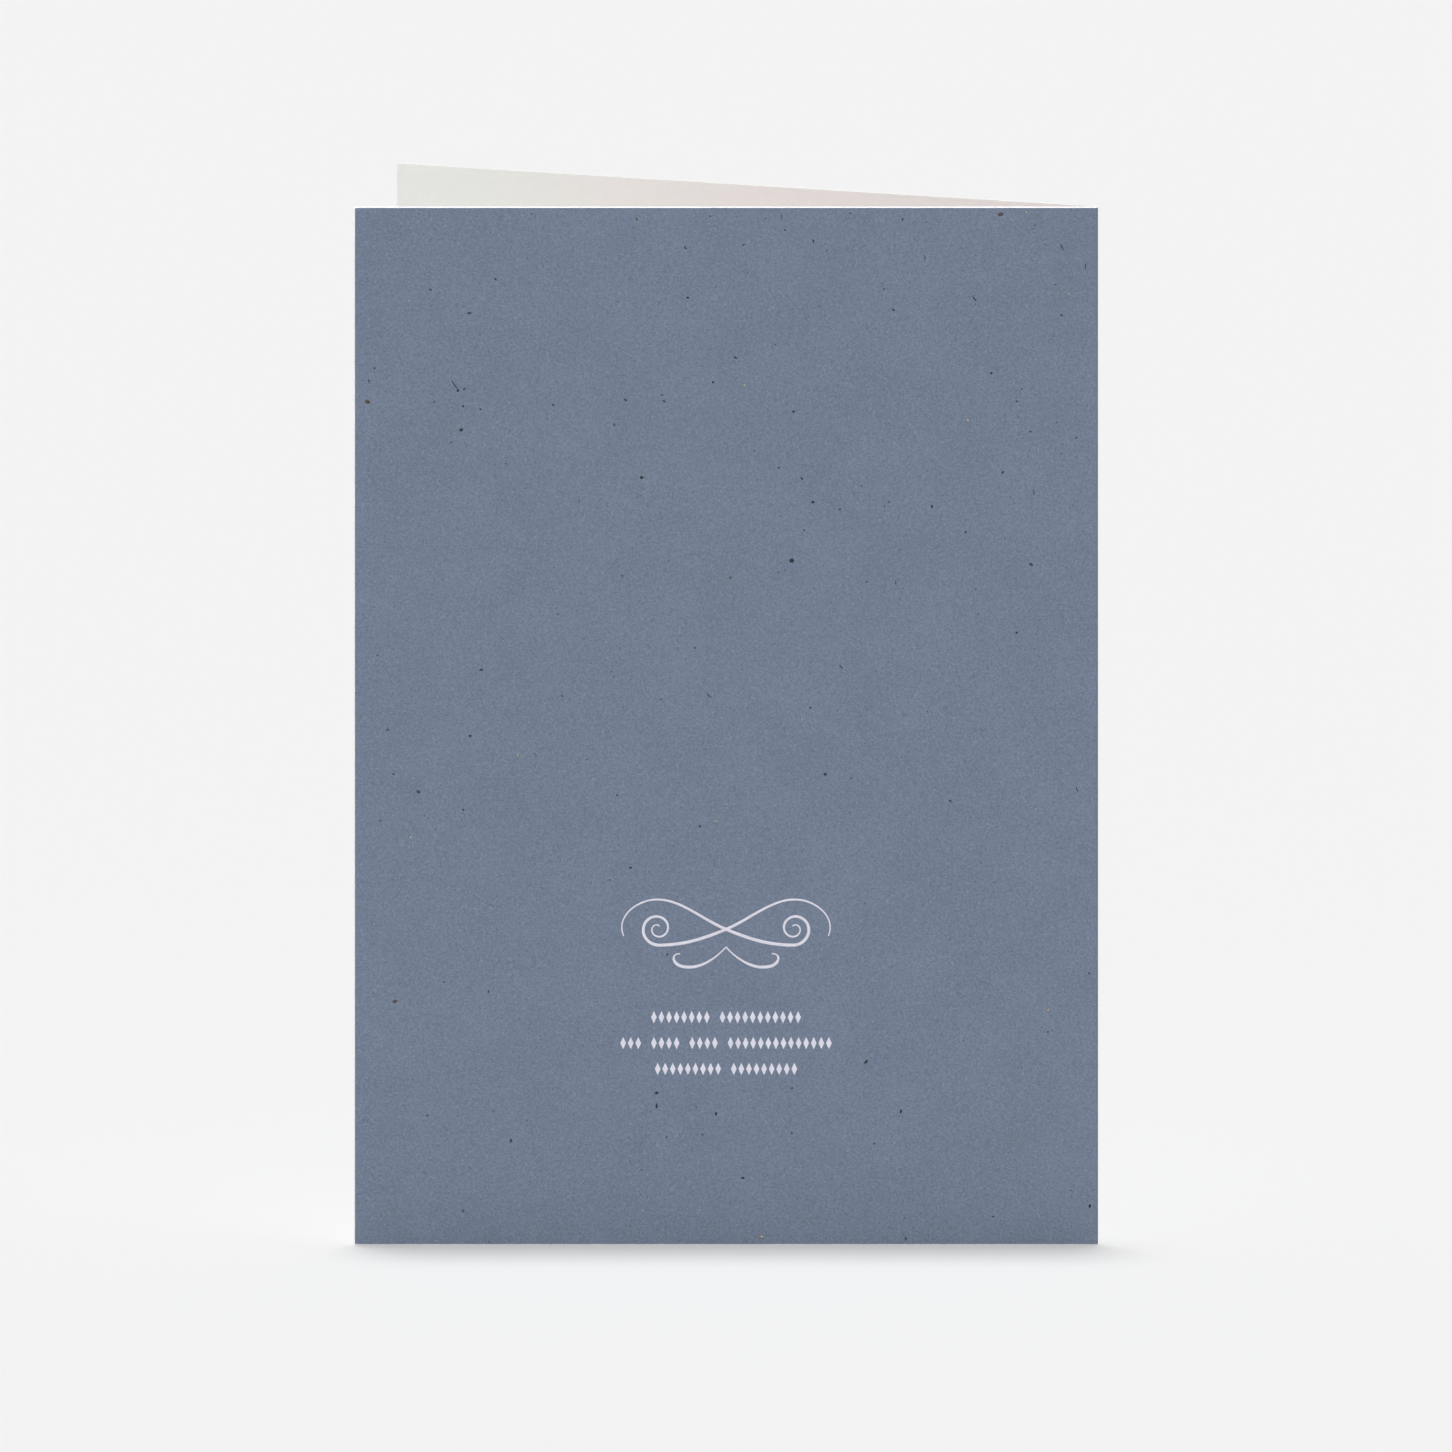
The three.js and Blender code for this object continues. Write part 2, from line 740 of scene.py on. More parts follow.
CUT_EDGE = PaperFinish(
    name="cut edge",
    dark=linear(236, 237, 240),
    light=linear(250, 250, 251),
    speck=linear(214, 216, 220),
    fibre=linear(255, 255, 255),
    cloud_strength=0.3,
    speck_strength=0.3,
    fibre_strength=0.3,
    tooth_depth=0.02 * MM,
    grain_size=0.12 * MM,
)
# The white core shows along the address leaf only. The cover's cut edge is the same white core with
# painted shade, a grey that stands in for the shade along the cover's top edge, so it shows no bright
# line.
SHADED_COVER_EDGE = replace(
    CUT_EDGE,
    name="shaded cover edge",
    dark=linear(210, 211, 208),
    light=linear(221, 222, 219),
    speck=linear(198, 199, 197),
    fibre=linear(227, 228, 225),
)
PALE_INK = InkFinish(
    name="pale ink",
    roughness=0.8,
    first=linear(214, 213, 226),
    second=linear(226, 224, 235),
    drift_size=1.2 * MM,
)
DARK_FLECK = InkFinish(name="dark fleck", first=linear(28, 36, 46), second=linear(80, 89, 103))
BROWN_FLECK = InkFinish(name="brown fleck", first=linear(84, 70, 64), second=linear(118, 100, 92))
DARK_CHAFF = InkFinish(name="dark chaff", first=linear(52, 62, 76), second=linear(88, 98, 114))
STRAW_CHAFF = InkFinish(name="straw chaff", first=linear(112, 108, 92), second=linear(104, 112, 112))
PALE_FLECK = InkFinish(
    name="pale fleck",
    first=linear(196, 176, 148),
    second=linear(158, 166, 180),
    drift_size=3.0 * MM,
)


@dataclass
class Maker:
    """Makes one visible piece: lays it out flat, folds it with the blank and coats it."""

    blank: Blank
    press: FoldPress
    pulp: PulpTexture

    # Whether the piece's faces are shaded as one soft surface.
    SMOOTH = True

    def build(self) -> bpy.types.Object:
        """Makes the piece.

        Returns:
            The finished piece.
        """
        piece = self.lay_out()
        run_tree(piece, self.tree(), self.values())
        if self.SMOOTH:
            piece.data.shade_smooth()
        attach(piece, CARD_BODY)
        piece.data.calc_loop_triangles()
        LOG.info("%s: %d triangles", piece.name, len(piece.data.loop_triangles))
        return piece

    def lay_out(self) -> bpy.types.Object:
        """Makes the flat mesh that the piece's tree starts from."""
        raise NotImplementedError

    def tree(self) -> bpy.types.NodeTree:
        """Builds the tree that shapes, folds and coats the piece."""
        raise NotImplementedError

    def values(self) -> dict[str, float | bpy.types.Material]:
        """What the tree's inputs are set to, by their names."""
        raise NotImplementedError


@dataclass
class Sheet(Maker):
    """The folded sheet itself, with its printed, inner and cut faces."""

    name: str = "card_sheet"
    cell: float = 5 * MM
    bend_steps: int = 24
    steps_beside_bend: int = 3
    bead_height: float = 0.08 * MM
    bead_half_width: float = 0.3 * MM
    worn_corner: float = 0.07 * MM
    sharp_degrees: float = 25.0

    # Where the inside's pink tint and painted shade toward the fold start and are full, as shares of
    # the leaf's width.
    pink_and_shade_starts: float = 0.12
    pink_and_shade_full: float = 0.5

    # Down the cut edge from the outer face: how far in from the edge, and how far up through
    # the sheet as a share of its thickness. The print has chipped away along the first step.
    cut_profile: tuple[Point, ...] = (
        (0.15 * MM, 1.0),
        (0.04 * MM, 0.9),
        (0.0, 0.7),
        (0.0, 0.15),
        (0.05 * MM, 0.0),
    )

    def build(self) -> bpy.types.Object:
        """Makes the sheet, which stands in for the whole solid card.

        Returns:
            The finished piece.
        """
        piece = super().build()
        piece.data.set_sharp_from_angle(angle=math.radians(self.sharp_degrees))
        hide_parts(CARD_NODE)
        return piece

    def values(self) -> dict[str, float | bpy.types.Material]:
        """The finish of each side."""
        low_x, _ = self.blank.footprint_low
        span = tuple(low_x + s * self.blank.leaf_width for s in (self.pink_and_shade_starts, self.pink_and_shade_full))
        inside = replace(INSIDE_STOCK, pink_and_shade_span=span)
        # The cover's cut edge takes the copy of the cut edge that has painted shade.
        finishes = zip(Side, (SLATE_PRINT, inside, CUT_EDGE, SHADED_COVER_EDGE))
        return {side.name: finish.material(self.pulp) for side, finish in finishes}

    @property
    def _near_edge(self) -> float:
        """How far in from the cut edge the outermost inner points lie."""
        return 2 * self.cut_profile[0][0]

    def _columns(self) -> list[float]:
        """Places across the blank for its inner columns of points, close together in the bend."""
        bend = self.blank.half_bend
        edge = self.blank.half_width
        in_bend = [bend * (2 * i / self.bend_steps - 1) for i in range(self.bend_steps + 1)]
        beside = [bend + self.bead_half_width * (i + 1) for i in range(self.steps_beside_bend)]
        count = round(self.blank.straight / self.cell)
        start = beside[-1]
        leaf = [start + (edge - start) * (i + 1) / count for i in range(count - 1)]
        right = [*beside, *leaf, edge - self._near_edge]
        return [-x for x in reversed(right)] + in_bend + right

    def _rows(self) -> list[float]:
        """Places up the blank for its inner rows of points."""
        height = self.blank.height
        count = round(height / self.cell)
        between = [height * (i + 1) / count for i in range(count - 1)]
        return [self._near_edge, *between, height - self._near_edge]

    def _bead(self, across: float) -> float:
        """How far the crease's bead lifts the inner face into the fold."""
        share = abs(across) / self.bead_half_width
        return self.bead_height * (1 + math.cos(math.pi * share)) / 2 if share < 1 else 0.0

    def lay_out(self) -> bpy.types.Object:
        """Makes the blank as one closed shell, with its faces told apart by side.

        Returns:
            The flat blank.
        """
        columns, rows = self._columns(), self._rows()
        wide, tall = len(columns) + 2, len(rows) + 2
        points: list[Place] = []
        faces: list[tuple[int, ...]] = []
        sides: list[int] = []

        def spot(i: int, j: int, inset: float, level: float) -> Place:
            """A point of the grid, with its outermost points drawn in from the cut edge."""
            edge_x = self.blank.half_width - inset
            x = -edge_x if i == 0 else edge_x if i == wide - 1 else columns[i - 1]
            y = inset if j == 0 else self.blank.height - inset if j == tall - 1 else rows[j - 1]
            if i in (0, wide - 1) and j in (0, tall - 1):
                x -= math.copysign(self.worn_corner, x)
                y += self.worn_corner if j == 0 else -self.worn_corner
            return (x, y, level * self.blank.thickness)

        def face(loop: tuple[int, ...], side: Side) -> None:
            """Adds one face and the side that it belongs to."""
            faces.append(loop)
            sides.append(side.value)

        def grid(side: Side, inset: float, level: float) -> dict[tuple[int, int], int]:
            """Adds one of the two large faces and returns its points by column and row."""
            index = {}
            for i in range(wide):
                for j in range(tall):
                    x, y, z = spot(i, j, inset, level)
                    if side is Side.INNER:
                        z -= self._bead(x)
                    index[i, j] = len(points)
                    points.append((x, y, z))
            for i in range(wide - 1):
                for j in range(tall - 1):
                    loop = (index[i, j], index[i + 1, j], index[i + 1, j + 1], index[i, j + 1])
                    face(loop if side is Side.OUTER else loop[::-1], side)
            return index

        rim = [(i, 0) for i in range(wide - 1)]
        rim += [(wide - 1, j) for j in range(tall - 1)]
        rim += [(i, tall - 1) for i in range(wide - 1, 0, -1)]
        rim += [(0, j) for j in range(tall - 1, 0, -1)]

        # The crease parts the rim's steps between the two leaves.
        cuts = []
        for k, (i, _) in enumerate(rim):
            after = rim[(k + 1) % len(rim)][0]
            cuts.append(Side.COVER_CUT if i + after > wide - 1 else Side.ADDRESS_CUT)

        outer = grid(Side.OUTER, *self.cut_profile[0])
        inner = grid(Side.INNER, *self.cut_profile[-1])
        above = [outer[step] for step in rim]
        for inset, level in self.cut_profile[1:-1]:
            below = []
            for i, j in rim:
                below.append(len(points))
                points.append(spot(i, j, inset, level))
            self._wall(above, below, cuts, face)
            above = below
        self._wall(above, [inner[step] for step in rim], cuts, face)

        flat = mesh_object(self.name, points, faces=faces)
        give(flat, "side", sides, kind="INT", domain="FACE")
        return flat

    @staticmethod
    def _wall(
        above: list[int],
        below: list[int],
        cuts: list[Side],
        face: Callable[[tuple[int, ...], Side], None],
    ) -> None:
        """Joins two rings of the cut edge.

        Args:
            above: The upper ring's points, in order round the sheet.
            below: The lower ring's points, in the same order.
            cuts: The side that each step of the ring belongs to.
            face: The function that adds a face.
        """
        for k in range(len(above)):
            after = (k + 1) % len(above)
            face((above[k], below[k], below[after], above[after]), cuts[k])

    def tree(self) -> bpy.types.NodeTree:
        """Builds the tree that folds the blank and gives each side its finish."""
        takes = {"Blank": "Geometry"} | {side.name: "Material" for side in Side}
        tree = node_group("folded sheet", "Geometry", takes, {"Card": "Geometry"})
        bench = Bench(tree)
        given = bench.node("NodeGroupInput").outputs
        shape = self.press.fold(bench, given["Blank"])
        which = bench.stored("side", kind="INT")
        for side in Side:
            compares = {2: which, 3: side.value}
            picked = bench.node("FunctionNodeCompare", compares, data_type="INT", operation="EQUAL")
            coats = {"Geometry": shape, "Selection": picked, "Material": given[side.name]}
            shape = bench.node("GeometryNodeSetMaterial", coats)
        bench.node("NodeGroupOutput", {"Card": shape})
        return tree


@dataclass(frozen=True)
class Fleck:
    """One fleck that can be told apart on the address leaf, at a listed place."""

    from_free_edge: float
    above_foot: float
    radius: float
    stretch: float = 1.2
    turn: float = 0.0


@dataclass(frozen=True, kw_only=True)
class FleckKind:
    """One kind of fleck: its finish, how it scatters, and the ones listed one by one."""

    name: str
    finish: InkFinish
    per_square_metre: float
    seed: int
    placed: tuple[Fleck, ...] = ()
    smallest: float = 0.08 * MM
    largest: float = 0.26 * MM
    longest_stretch: float = 2.2
    relief: float = 0.008 * MM


@dataclass
class FleckPrint(Maker):
    """Flecks of one kind: some listed one by one on the address leaf, and a scatter all over."""

    kind: FleckKind
    growth: float = 1.2
    margin: float = 0.6 * MM

    # The power that a random share of the size range is raised to, so small flecks far
    # outnumber large ones.
    rarity: float = 3.0

    def values(self) -> dict[str, float | bpy.types.Material]:
        """The kind's own numbers and its finish."""
        return {
            "Per Square Metre": self.kind.per_square_metre,
            "Seed": self.kind.seed,
            "Smallest": self.kind.smallest,
            "Largest": self.kind.largest,
            "Longest Stretch": self.kind.longest_stretch,
            "Relief": self.kind.relief,
            "Finish": self.kind.finish.material(self.pulp),
        }

    def lay_out(self) -> bpy.types.Object:
        """Makes the field that the scatter falls on, with a loose point for each placed fleck.

        Returns:
            The mesh that the tree starts from.
        """
        placed = self.kind.placed
        edge = self.blank.half_width - self.margin
        low, high = self.margin, self.blank.height - self.margin
        corners = [(-edge, low), (edge, low), (edge, high), (-edge, high)]
        spots = [self.blank.on_address_leaf(f.from_free_edge * MM, f.above_foot * MM) for f in placed]
        points = [(x, y, self.blank.thickness) for x, y in corners + spots]
        field = mesh_object(self.kind.name, points, faces=[tuple(range(len(corners)))])
        measures = {
            "half_width": [fleck.radius * self.growth * MM for fleck in placed],
            "stretch": [fleck.stretch for fleck in placed],
            "turn": [math.radians(fleck.turn) for fleck in placed],
        }
        for name, values in measures.items():
            give(field, name, [0.0] * len(corners) + values)
        return field

    def tree(self) -> bpy.types.NodeTree:
        """Builds the tree that scatters, shapes, folds and coats the flecks."""
        numbers = ("Per Square Metre", "Smallest", "Largest", "Longest Stretch", "Relief")
        takes = {"Field": "Geometry"} | dict.fromkeys(numbers, "Float")
        takes |= {"Seed": "Int", "Finish": "Material"}
        tree = node_group(f"{self.kind.name} scatter", "Geometry", takes, {"Print": "Geometry"})
        bench = Bench(tree)
        given = bench.node("NodeGroupInput").outputs
        field, seed, relief = given["Field"], given["Seed"], given["Relief"]

        chance = self._random(bench, 0.0, 1.0, seed)
        rarely_large = bench.math("POWER", chance, self.rarity)
        span = bench.math("SUBTRACT", given["Largest"], given["Smallest"])
        radius = bench.math("MULTIPLY_ADD", rarely_large, span, given["Smallest"])
        next_seed = bench.math("ADD", seed, 1.0)
        stretch = self._random(bench, 1.0, given["Longest Stretch"], next_seed)
        turn = self._random(bench, 0.0, math.pi, bench.math("ADD", seed, 2.0))
        falls = {"Mesh": field, "Density": given["Per Square Metre"], "Seed": seed}
        fallen = bench.node("GeometryNodeDistributePointsOnFaces", falls).outputs["Points"]
        scattered = self._chips(bench, fallen, radius, stretch, turn, relief)

        radius, stretch, turn = (bench.stored(name) for name in ("half_width", "stretch", "turn"))
        by_hand = {"Mesh": field, "Selection": bench.math("GREATER_THAN", radius, 0.0)}
        kept = bench.node("GeometryNodeMeshToPoints", by_hand).outputs[0]
        placed = self._chips(bench, kept, radius, stretch, turn, relief)

        both = bench.node("GeometryNodeJoinGeometry", {0: scattered})
        bench.feed(both.inputs[0], placed)
        self.press.end_print(bench, both, given["Finish"])
        return tree

    @staticmethod
    def _random(bench: Bench, low: Value, high: Value, seed: Socket) -> Socket:
        """A random number for each point, between two limits."""
        limits = {2: low, 3: high, "Seed": seed}
        return bench.node("FunctionNodeRandomValue", limits, data_type="FLOAT").outputs[1]

    @staticmethod
    def _chips(
        bench: Bench, points: Socket, radius: Socket, stretch: Socket, turn: Socket, relief: Socket
    ) -> Socket:
        """Puts a flat grain of ink on each point, half of it below the paper's face.

        Args:
            bench: The tree's bench.
            points: Where the flecks go.
            radius: Half the width of each.
            stretch: How many times longer than wide each is.
            turn: How far each is turned on the paper.
            relief: How far each stands out of the paper.

        Returns:
            The flecks as real faces.
        """
        grain = bench.node("GeometryNodeMeshIcoSphere", {"Radius": 1.0, "Subdivisions": 1})
        size = bench.vector(bench.math("MULTIPLY", radius, stretch), radius, relief)
        heading = bench.vector(0.0, 0.0, turn)
        return bench.copies(Points=points, Instance=grain, Rotation=heading, Scale=size)


# The flecks that can be told apart on the address leaf, as millimetres in from its free edge,
# up from its foot, half width, then stretch and turn in degrees where the fleck isn't round.
DARK_FLECKS = (
    Fleck(16.7, 139.9, 0.17, 1.4, 120),
    Fleck(70.6, 112.1, 0.34, 1.1),
    Fleck(74.0, 121.7, 0.21, 1.3),
    Fleck(17.3, 133.5, 0.24, 1.3, 30),
    Fleck(70.9, 136.5, 0.19, 1.3),
    Fleck(46.4, 125.7, 0.24, 1.1),
    Fleck(78.4, 120.5, 0.16, 1.2, 40),
    Fleck(68.5, 127.3, 0.15, 1.2, 120),
    Fleck(57.9, 141.3, 0.15, 1.3),
    Fleck(49.7, 139.2, 0.14, 1.2),
    Fleck(50.0, 138.2, 0.13, 2.3, 150),
    Fleck(43.8, 138.4, 0.13, 2.2, 150),
    Fleck(20.4, 136.9, 0.14),
    Fleck(12.9, 138.1, 0.13),
    Fleck(32.1, 137.6, 0.14, 1.2, 80),
    Fleck(42.0, 134.3, 0.13, 1.5, 90),
    Fleck(2.4, 141.5, 0.12, 2.0, 110),
    Fleck(22.8, 158.2, 0.12, 2.0, 125),
    Fleck(57.5, 168.5, 0.12),
    Fleck(69.5, 166.2, 0.13),
    Fleck(88.5, 168.0, 0.12, 2.0, 90),
    Fleck(109.1, 133.2, 0.16),
    Fleck(106.9, 138.2, 0.13),
    Fleck(116.5, 132.2, 0.14),
    Fleck(43.3, 109.6, 0.13),
    Fleck(76.0, 77.1, 0.24, 1.1),
    Fleck(44.6, 61.8, 0.2, 1.1),
    Fleck(48.8, 24.9, 0.24, 1.1),
    Fleck(48.8, 22.8, 0.16, 2.6, 90),
    Fleck(58.4, 21.5, 0.18, 1.5, 80),
    Fleck(88.2, 21.9, 0.17, 2.0, 90),
    Fleck(25.3, 17.1, 0.18, 1.7, 90),
    Fleck(17.6, 5.6, 0.12, 2.0, 90),
    Fleck(89.0, 1.1, 0.16, 1.6, 85),
    Fleck(118.7, 6.4, 0.22, 1.3, 70),
    Fleck(5.4, 84.4, 0.14, 1.8, 20),
    Fleck(62.7, 11.0, 0.16, 1.8, 10),
    Fleck(21.7, 41.5, 0.11, 2.4, 90),
    Fleck(111.9, 34.9, 0.13),
    Fleck(80.0, 169.0, 0.12),
    Fleck(109.8, 167.0, 0.12),
    Fleck(85.5, 156.6, 0.12, 1.4, 40),
    Fleck(113.2, 157.3, 0.13),
    Fleck(102.8, 142.8, 0.15, 1.5, 40),
    Fleck(107.7, 140.2, 0.11),
    Fleck(76.3, 162.9, 0.11),
    Fleck(75.0, 153.8, 0.1),
    Fleck(49.2, 154.3, 0.1),
    Fleck(24.5, 128.0, 0.12),
    Fleck(15.7, 131.4, 0.12),
    Fleck(3.3, 143.6, 0.11, 1.5, 80),
    Fleck(3.8, 96.6, 0.12),
    Fleck(55.0, 97.8, 0.11, 1.6, 100),
    Fleck(72.6, 117.1, 0.11, 1.3),
    Fleck(64.6, 130.1, 0.12, 1.3),
    Fleck(85.6, 121.0, 0.11, 1.6, 60),
    Fleck(82.7, 108.6, 0.12, 1.3),
)
BROWN_FLECKS = (
    Fleck(2.2, 138.1, 0.26, 1.6, 160),
    Fleck(17.8, 140.2, 0.14, 2.0, 40),
    Fleck(104.3, 168.8, 0.28, 1.4, 15),
    Fleck(45.6, 168.0, 0.16, 1.5, 120),
    Fleck(62.8, 163.8, 0.14, 1.9, 35),
    Fleck(60.7, 109.3, 0.15, 1.6, 100),
    Fleck(6.4, 77.1, 0.16, 1.3),
    Fleck(11.8, 21.2, 0.13, 2.2, 20),
    Fleck(6.6, 39.9, 0.24, 1.5, 10),
    Fleck(70.6, 18.3, 0.17, 1.3),
)
PALE_FLECKS = (
    Fleck(63.0, 140.8, 0.2, 1.1),
    Fleck(8.9, 154.7, 0.14),
    Fleck(39.2, 148.5, 0.14),
    Fleck(115.3, 155.8, 0.13),
)

FLECK_KINDS = (
    FleckKind(
        name="dark_flecks",
        finish=DARK_FLECK,
        per_square_metre=6000.0,
        seed=11,
        placed=DARK_FLECKS,
    ),
    FleckKind(
        name="brown_flecks",
        finish=BROWN_FLECK,
        per_square_metre=900.0,
        seed=23,
        placed=BROWN_FLECKS,
        relief=0.005 * MM,
    ),
    FleckKind(
        name="pale_flecks",
        finish=PALE_FLECK,
        per_square_metre=700.0,
        seed=37,
        placed=PALE_FLECKS,
        relief=0.006 * MM,
    ),
    FleckKind(
        name="dark_chaff",
        finish=DARK_CHAFF,
        per_square_metre=1800.0,
        seed=51,
        smallest=0.04 * MM,
        largest=0.08 * MM,
        longest_stretch=9.0,
    ),
    FleckKind(
        name="straw_chaff",
        finish=STRAW_CHAFF,
        per_square_metre=900.0,
        seed=64,
        smallest=0.05 * MM,
        largest=0.09 * MM,
        longest_stretch=8.0,
        relief=0.007 * MM,
    ),
)


@dataclass(frozen=True)
class Hair:
    """One dark hair in the stock: where it starts, its length, its heading and its bend."""

    from_free_edge: float
    above_foot: float
    length: float
    heading: float
    bend: float


# Millimetres in from the free edge and up from the foot, length, then degrees.
HAIRS = (
    Hair(15.7, 141.7, 2.3, -62, 20),
    Hair(99.8, 155.4, 1.0, -60, 10),
    Hair(109.6, 123.8, 1.1, -88, 10),
    Hair(69.0, 168.9, 1.0, -92, 14),
    Hair(56.9, 90.5, 1.2, -70, 60),
    Hair(114.0, 164.0, 1.2, -75, 20),
    Hair(118.0, 160.7, 0.9, -95, 10),
    Hair(92.0, 162.2, 0.9, -85, 15),
    Hair(116.5, 75.0, 0.9, -80, 20),
    Hair(78.3, 95.0, 0.8, -60, 25),
)


@dataclass
class PenStrokes(Maker):
    """Strokes of ink on the outer face: each one is a path, swept as a flat bead."""

    name: str
    ink: InkFinish

    def strokes(self) -> list[list[Place]]:
        """Each stroke's points, as blank x, blank y and half width."""
        raise NotImplementedError

    def values(self) -> dict[str, float | bpy.types.Material]:
        """The ink."""
        return {"Finish": self.ink.material(self.pulp)}

    def lay_out(self) -> bpy.types.Object:
        """Makes the paths of the strokes, with a half width at each point.

        Returns:
            The mesh that the tree starts from.
        """
        points, edges, widths = [], [], []
        for stroke in self.strokes():
            first = len(points)
            points += [(x, y, self.blank.thickness) for x, y, _ in stroke]
            widths += [half_width for _, _, half_width in stroke]
            edges += [(first + i, first + i + 1) for i in range(len(stroke) - 1)]
        paths = mesh_object(self.name, points, edges=edges)
        give(paths, "half_width", widths)
        return paths

    def tree(self) -> bpy.types.NodeTree:
        """Builds the tree that sweeps, folds and coats the strokes."""
        takes = {"Path": "Geometry", "Flatness": 0.08, "Finish": "Material"}
        tree = node_group("pen stroke", "Geometry", takes, {"Print": "Geometry"})
        bench = Bench(tree)
        given = bench.node("NodeGroupInput").outputs
        path = bench.node("GeometryNodeMeshToCurve", {"Mesh": given["Path"]})
        level = bench.node("GeometryNodeSetCurveNormal", {"Curve": path}, mode="Z_UP")
        round_nib = {"Resolution": 8, "Radius": 1.0}
        ring = bench.node("GeometryNodeCurvePrimitiveCircle", round_nib, mode="RADIUS")
        flattens = {"Geometry": ring, "Scale": bench.vector(1.0, given["Flatness"], 1.0)}
        nib = bench.node("GeometryNodeTransform", flattens)
        width = bench.stored("half_width")
        sweeps = {"Curve": level, "Scale": width, "Profile Curve": nib, "Fill Caps": True}
        swept = bench.node("GeometryNodeCurveToMesh", sweeps)
        real = bench.node("GeometryNodeRealizeInstances", {0: swept})
        self.press.end_print(bench, real, given["Finish"])
        return tree


@dataclass
class StockHairs(PenStrokes):
    """The few dark hairs that lie in the address leaf's print."""

    name: str = "stock_hairs"
    ink: InkFinish = DARK_FLECK
    steps: int = 8
    half_width: float = 0.1 * MM
    thin_end: float = 0.5

    def strokes(self) -> list[list[Place]]:
        """The hairs, each of them turning evenly along its length."""
        return [self._walk(hair) for hair in HAIRS]

    def _walk(self, hair: Hair) -> list[Place]:
        """Walks along one hair."""
        x, y = self.blank.on_address_leaf(hair.from_free_edge * MM, hair.above_foot * MM)
        step = hair.length * MM / self.steps
        points = []
        for i in range(self.steps + 1):
            share = i / self.steps
            taper = self.thin_end + (1 - self.thin_end) * math.sin(math.pi * share)
            points.append((x, y, self.half_width * taper))
            heading = math.radians(hair.heading + hair.bend * share)
            x += step * math.cos(heading)
            y += step * math.sin(heading)
        return points


@dataclass
class Flourish(PenStrokes):
    """A pen flourish in pale ink on the address leaf: two scrolls crossed and mirrored."""

    name: str = "pen_flourish"
    ink: InkFinish = PALE_INK
    centre_up: float = 51.2 * MM
    hairline: float = 0.11 * MM
    swell: float = 0.27 * MM
    curve_steps: int = 20
    volute_steps: int = 48
    volute_centre: Point = (11.0 * MM, 0.6 * MM)
    volute_radii: Point = (0.45 * MM, 2.7 * MM)
    volute_turns: float = 1.6

    # The sweep that leaves the scroll, crosses the middle and ends in a tail, and the tendril
    # below: each curve's two ends and two handles, in millimetres from the flourish's middle.
    sweep: tuple[Curve, ...] = (
        ((11.0, -2.1), (6.6, -2.1), (3.6, -1.0), (0.0, 0.5)),
        ((0.0, 0.5), (-4.2, 2.25), (-8.2, 6.3), (-12.6, 5.2)),
        ((-12.6, 5.2), (-15.6, 4.4), (-17.6, 1.9), (-16.5, -0.6)),
    )
    tendril: tuple[Curve, ...] = (
        ((0.0, -2.4), (1.6, -4.2), (4.2, -6.2), (7.0, -5.6)),
        ((7.0, -5.6), (8.8, -5.2), (8.9, -3.4), (7.4, -3.5)),
    )

    def strokes(self) -> list[list[Place]]:
        """The scroll and the tendril, each as drawn and then as its mirror image."""
        drawn = (self._scroll(), self._curve(self.tendril))
        return [self._place(points, mirror) for mirror in (1, -1) for points in drawn]

    def _curve(self, pieces: tuple[Curve, ...]) -> list[Point]:
        """Points along a run of curves.

        Args:
            pieces: The curves, each starting where the last one ends.

        Returns:
            Points in metres, about the flourish's middle.
        """
        points = []
        for number, handles in enumerate(pieces):
            for i in range(1 if number else 0, self.curve_steps + 1):
                t = i / self.curve_steps
                shares = ((1 - t) ** 3, 3 * t * (1 - t) ** 2, 3 * t * t * (1 - t), t**3)
                pairs = [(share * x * MM, share * y * MM) for share, (x, y) in zip(shares, handles)]
                points.append((sum(x for x, _ in pairs), sum(y for _, y in pairs)))
        return points

    def _scroll(self) -> list[Point]:
        """The scroll's spiral, wound outward and run on into the sweep."""
        centre_x, centre_y = self.volute_centre
        inner, outer = self.volute_radii
        points = []
        for i in range(self.volute_steps):
            share = i / self.volute_steps
            radius = inner + (outer - inner) * share
            angle = -math.pi / 2 + 2 * math.pi * self.volute_turns * (1 - share)
            points.append((centre_x + radius * math.cos(angle), centre_y + radius * math.sin(angle)))
        return points + self._curve(self.sweep)

    def _place(self, points: list[Point], mirror: int) -> list[Place]:
        """Sets a stroke on the leaf, swelling once along its length.

        Args:
            points: The stroke about the flourish's middle.
            mirror: 1 for the stroke as drawn, -1 for its mirror image.

        Returns:
            The stroke's points in blank coordinates, with its half widths.
        """
        middle_x, middle_y = self.blank.on_address_leaf(self.blank.leaf_width / 2, self.centre_up)
        placed = []
        for i, (x, y) in enumerate(points):
            swelling = math.sin(math.pi * i / (len(points) - 1)) ** 2
            half_width = self.hairline + (self.swell - self.hairline) * swelling
            placed.append((middle_x + mirror * x, middle_y + y, half_width))
        return placed


